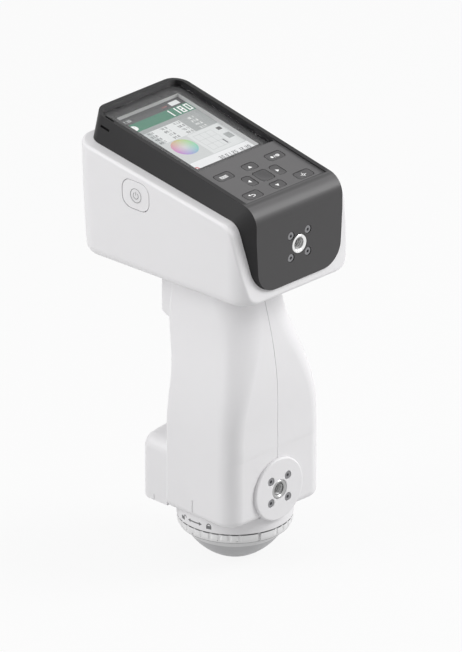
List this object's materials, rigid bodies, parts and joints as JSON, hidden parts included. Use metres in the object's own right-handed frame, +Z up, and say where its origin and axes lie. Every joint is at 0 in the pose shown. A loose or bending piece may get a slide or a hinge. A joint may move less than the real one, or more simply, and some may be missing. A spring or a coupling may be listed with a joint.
{
  "type": "color spectrophotometer",
  "caption": "Hand-held color spectrophotometer with a drafted head, tilted display and keypad, tapering grip with a rear hump, and a cone-nosed measuring port with a bayonet ring.",
  "frame": {"origin": "centre of the measuring port on the plane that touches the sample", "axes": "+Z up through the grip to the head, -Y towards the front face with the threaded mounts, +Y towards the user's end of the head, -X towards the side with the power button"},
  "size_m": [0.079, 0.1155, 0.2214],
  "materials": {
    "shell_white": "fine matte moulded",
    "cover_charcoal": "fine matte moulded",
    "nose_grey": "satin moulded",
    "window_glass": "polished clear",
    "mask_black": "black print",
    "frame_grey": "matte",
    "screen": "lit colour display",
    "key_grey": "matte",
    "button_white": "fine matte moulded",
    "rubber_black": "matte",
    "board_green": "solder mask",
    "switch_black": "moulded",
    "socket_steel": "satin",
    "screw_steel": "machined",
    "insert_steel": "turned",
    "spine_aluminium": "satin",
    "sphere_white": "diffuse white",
    "optics_black": "black anodised",
    "lamp_glass": "clear tube",
    "capacitor_blue": "shrink sleeve",
    "battery_wrap": "film wrap"
  },
  "bodies": {
    "instrument": {"head_case": "shell_white", "grip_shell_left": "shell_white", "grip_shell_right": "shell_white", "foot_plate": "shell_white", "trigger_housing": "shell_white", "rear_housing": "shell_white", "collar": "shell_white", "mount_disc": "shell_white", "battery_cover": "shell_white", "head_cover": "cover_charcoal", "target_mask": "nose_grey", "display_window": "window_glass", "window_mask": "mask_black", "display_frame": "frame_grey", "display_panel": "screen", "key_mat": "rubber_black", "port_seal": "rubber_black", "key_board": "board_green", "main_board": "board_green", "sensor_board": "board_green", "lamp_board": "board_green", "power_switch": "switch_black", "measure_switch": "switch_black", "camera_module": "switch_black", "data_socket": "socket_steel", "case_screws": "screw_steel", "lower_mount_screws": "screw_steel", "upper_mount_screws": "screw_steel", "lower_mount_insert": "insert_steel", "upper_mount_insert": "insert_steel", "chassis": "spine_aluminium", "lower_mount_plate": "spine_aluminium", "upper_mount_plate": "spine_aluminium", "sphere_lower": "sphere_white", "sphere_upper": "sphere_white", "spectrometer": "optics_black", "light_guide": "optics_black", "lamp_holder": "optics_black", "lamp": "lamp_glass", "lamp_capacitor": "capacitor_blue", "battery_pack": "battery_wrap"},
    "bayonet_ring": {"bayonet_ring": "shell_white"},
    "power_button": {"power_button": "button_white"},
    "measure_button": {"measure_button": "button_white"},
    "key_up": {"key_up": "key_grey"},
    "key_down": {"key_down": "key_grey"},
    "key_left": {"key_left": "key_grey"},
    "key_right": {"key_right": "key_grey"},
    "key_centre": {"key_centre": "key_grey"},
    "key_function_1": {"key_function_1": "key_grey"},
    "key_function_2": {"key_function_2": "key_grey"},
    "key_function_3": {"key_function_3": "key_grey"},
    "key_function_4": {"key_function_4": "key_grey"}
  },
  "joints": [
    {"name": "ring_turn", "type": "hinge", "parent": "instrument", "child": "bayonet_ring", "pos_m": [0, 0, 0.0175], "axis": [0, 0, 1], "range_deg": [0, 30]},
    {"name": "power_press", "type": "slide", "parent": "instrument", "child": "power_button", "axis": [1, 0, 0], "range_m": [0, 0.001], "stiffness_N_per_m": 1500, "springref_m": -0.0006},
    {"name": "measure_press", "type": "slide", "parent": "instrument", "child": "measure_button", "axis": [0, -1, 0], "range_m": [0, 0.0012], "stiffness_N_per_m": 1500, "springref_m": -0.0006},
    {"name": "key_up_press", "type": "slide", "parent": "instrument", "child": "key_up", "axis": [0, 0.1761, -0.9844], "range_m": [0, 0.0006], "stiffness_N_per_m": 1200, "springref_m": -0.0005},
    {"name": "key_down_press", "type": "slide", "parent": "instrument", "child": "key_down", "axis": [0, 0.1761, -0.9844], "range_m": [0, 0.0006], "stiffness_N_per_m": 1200, "springref_m": -0.0005},
    {"name": "key_left_press", "type": "slide", "parent": "instrument", "child": "key_left", "axis": [0, 0.1761, -0.9844], "range_m": [0, 0.0006], "stiffness_N_per_m": 1200, "springref_m": -0.0005},
    {"name": "key_right_press", "type": "slide", "parent": "instrument", "child": "key_right", "axis": [0, 0.1761, -0.9844], "range_m": [0, 0.0006], "stiffness_N_per_m": 1200, "springref_m": -0.0005},
    {"name": "key_centre_press", "type": "slide", "parent": "instrument", "child": "key_centre", "axis": [0, 0.1761, -0.9844], "range_m": [0, 0.0006], "stiffness_N_per_m": 1200, "springref_m": -0.0005},
    {"name": "key_function_1_press", "type": "slide", "parent": "instrument", "child": "key_function_1", "axis": [0, 0.1761, -0.9844], "range_m": [0, 0.0006], "stiffness_N_per_m": 1200, "springref_m": -0.0005},
    {"name": "key_function_2_press", "type": "slide", "parent": "instrument", "child": "key_function_2", "axis": [0, 0.1761, -0.9844], "range_m": [0, 0.0006], "stiffness_N_per_m": 1200, "springref_m": -0.0005},
    {"name": "key_function_3_press", "type": "slide", "parent": "instrument", "child": "key_function_3", "axis": [0, 0.1761, -0.9844], "range_m": [0, 0.0006], "stiffness_N_per_m": 1200, "springref_m": -0.0005},
    {"name": "key_function_4_press", "type": "slide", "parent": "instrument", "child": "key_function_4", "axis": [0, 0.1761, -0.9844], "range_m": [0, 0.0006], "stiffness_N_per_m": 1200, "springref_m": -0.0005}
  ]
}
